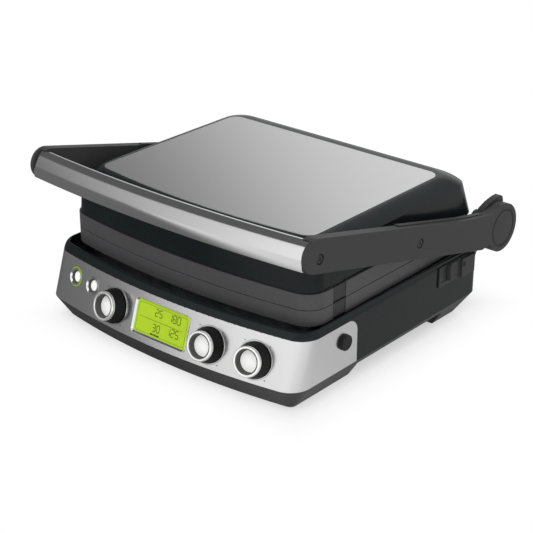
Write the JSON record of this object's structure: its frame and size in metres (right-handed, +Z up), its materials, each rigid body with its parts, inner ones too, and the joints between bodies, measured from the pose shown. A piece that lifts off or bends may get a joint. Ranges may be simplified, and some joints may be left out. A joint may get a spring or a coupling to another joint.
{
  "type": "contact_grill",
  "caption": "Electric contact grill, closed: leaning bowed steel control panel, display, round knobs, twin plates, dark lid with steel panel and a bowed handle bar on two long arms.",
  "frame": {"origin": "bottom centre of the bounding box, on the counter, with the lid closed", "axes": "+Z up; +Y from the control panel to the rear hinge; +X to the right when facing the control panel"},
  "size_m": [0.3762, 0.3946, 0.19],
  "materials": {
    "gloss_shell": "gloss",
    "matt_grey": "fine texture",
    "black_plastic": "matt",
    "steel_panel": "brushed",
    "chrome_trim": "bright",
    "coated_plate": "ceramic coating, dark grey",
    "aluminium_sheet": "mill",
    "element": "oxidised",
    "steel_fixing": "zinc plated",
    "rubber": "matt",
    "display": "backlit",
    "lit_ring": "backlit",
    "board": "solder mask"
  },
  "bodies": {
    "base": {"base_pan": "matt_grey", "rubber_feet": "rubber", "pan_screws": "steel_fixing", "base_housing": "gloss_shell", "fascia": "steel_panel", "lcd_frame": "chrome_trim", "lcd_window": "display", "lcd_module": "display", "control_board": "board", "knob_bezels": "chrome_trim", "encoders": "black_plastic", "power_light_ring": "lit_ring", "button_switches": "black_plastic", "lower_reflector": "aluminium_sheet", "lower_element": "element", "lower_thermostat": "steel_fixing", "lower_plate": "coated_plate", "lower_plate_tabs": "matt_grey", "power_board": "board", "terminal_block": "black_plastic", "cord_gland": "black_plastic", "hinge_bracket_left": "matt_grey", "hinge_bracket_right": "matt_grey", "bracket_screws": "steel_fixing", "hinge_shafts": "steel_fixing", "height_guide": "matt_grey"},
    "lid_frame": {"arm_left": "matt_grey", "arm_right": "matt_grey", "hub_cap_left": "matt_grey", "hub_cap_right": "matt_grey", "handle_core": "matt_grey", "handle_bar": "steel_panel", "arm_screws": "steel_fixing", "pivot_bushes": "matt_grey", "lid_housing": "gloss_shell", "lid_panel": "steel_panel", "upper_reflector": "aluminium_sheet", "upper_element": "element", "upper_thermostat": "steel_fixing", "upper_plate": "coated_plate", "upper_plate_tabs": "matt_grey"},
    "lever": {"release_lever": "matt_grey"},
    "slider": {"height_slider": "matt_grey"},
    "mode_dial": {"mode_knob": "black_plastic", "mode_knob_cap": "chrome_trim"},
    "temperature_dial": {"temperature_knob": "black_plastic", "temperature_knob_cap": "chrome_trim"},
    "timer_dial": {"timer_knob": "black_plastic", "timer_knob_cap": "chrome_trim"},
    "power_key": {"power_button": "chrome_trim"},
    "select_key": {"select_button": "chrome_trim"},
    "lower_release": {"lower_release_button": "black_plastic"},
    "lower_hook": {"lower_catch": "steel_fixing"},
    "upper_release": {"upper_release_button": "black_plastic"},
    "upper_hook": {"upper_catch": "steel_fixing"},
    "tray": {"drip_tray": "black_plastic"}
  },
  "joints": [
    {"name": "lid_hinge", "type": "hinge", "parent": "base", "child": "lid_frame", "pos_m": [0, 0.1714, 0.0946], "axis": [-1, 0, 0], "range_deg": [0, 179]},
    {"name": "lever_pivot", "type": "hinge", "parent": "lid_frame", "child": "lever", "pos_m": [0.17, 0.1714, 0.0946], "axis": [-1, 0, 0], "range_deg": [0, 12], "stiffness_Nm_per_rad": 0.6, "springref_deg": -2.86},
    {"name": "slider_slide", "type": "slide", "parent": "base", "child": "slider", "axis": [0, -1, 0], "range_m": [0, 0.01]},
    {"name": "mode_turn", "type": "hinge", "parent": "base", "child": "mode_dial", "pos_m": [-0.064, -0.17581, 0.0486], "axis": [-0.0699, -0.9474, 0.3123], "range_deg": [-60, 60]},
    {"name": "temperature_turn", "type": "hinge", "parent": "base", "child": "temperature_dial", "pos_m": [0.0694, -0.1754, 0.0486], "axis": [0.0758, -0.9469, 0.3123], "continuous": true},
    {"name": "timer_turn", "type": "hinge", "parent": "base", "child": "timer_dial", "pos_m": [0.1248, -0.16917, 0.0486], "axis": [0.1363, -0.9401, 0.3123], "continuous": true},
    {"name": "power_press", "type": "slide", "parent": "base", "child": "power_key", "axis": [0.1463, 0.9386, -0.3123], "range_m": [0, 0.0012], "stiffness_N_per_m": 600, "springref_m": -0.0005},
    {"name": "select_press", "type": "slide", "parent": "base", "child": "select_key", "axis": [0.1136, 0.9432, -0.3123], "range_m": [0, 0.0012], "stiffness_N_per_m": 600, "springref_m": -0.0005},
    {"name": "lower_release_press", "type": "slide", "parent": "base", "child": "lower_release", "axis": [-1, 0, 0], "range_m": [0, 0.0012], "stiffness_N_per_m": 600, "springref_m": -0.0005},
    {"name": "lower_hook_pivot", "type": "hinge", "parent": "base", "child": "lower_hook", "pos_m": [0.159, -0.094, 0.0645], "axis": [0, 1, 0], "range_deg": [0, 6.65]},
    {"name": "upper_release_press", "type": "slide", "parent": "lid_frame", "child": "upper_release", "axis": [1, 0, 0], "range_m": [0, 0.0012], "stiffness_N_per_m": 600, "springref_m": -0.0005},
    {"name": "upper_hook_pivot", "type": "hinge", "parent": "lid_frame", "child": "upper_hook", "pos_m": [-0.157, -0.094, 0.1231], "axis": [0, 1, 0], "range_deg": [0, 9.39]},
    {"name": "tray_slide", "type": "slide", "parent": "base", "child": "tray", "axis": [-1, 0, 0], "range_m": [0, 0.12]}
  ],
  "couplings": [
    {"joint": "lower_hook_pivot", "follows": "lower_release_press", "rad_per_m": 95.238},
    {"joint": "upper_hook_pivot", "follows": "upper_release_press", "rad_per_m": 135.14}
  ]
}
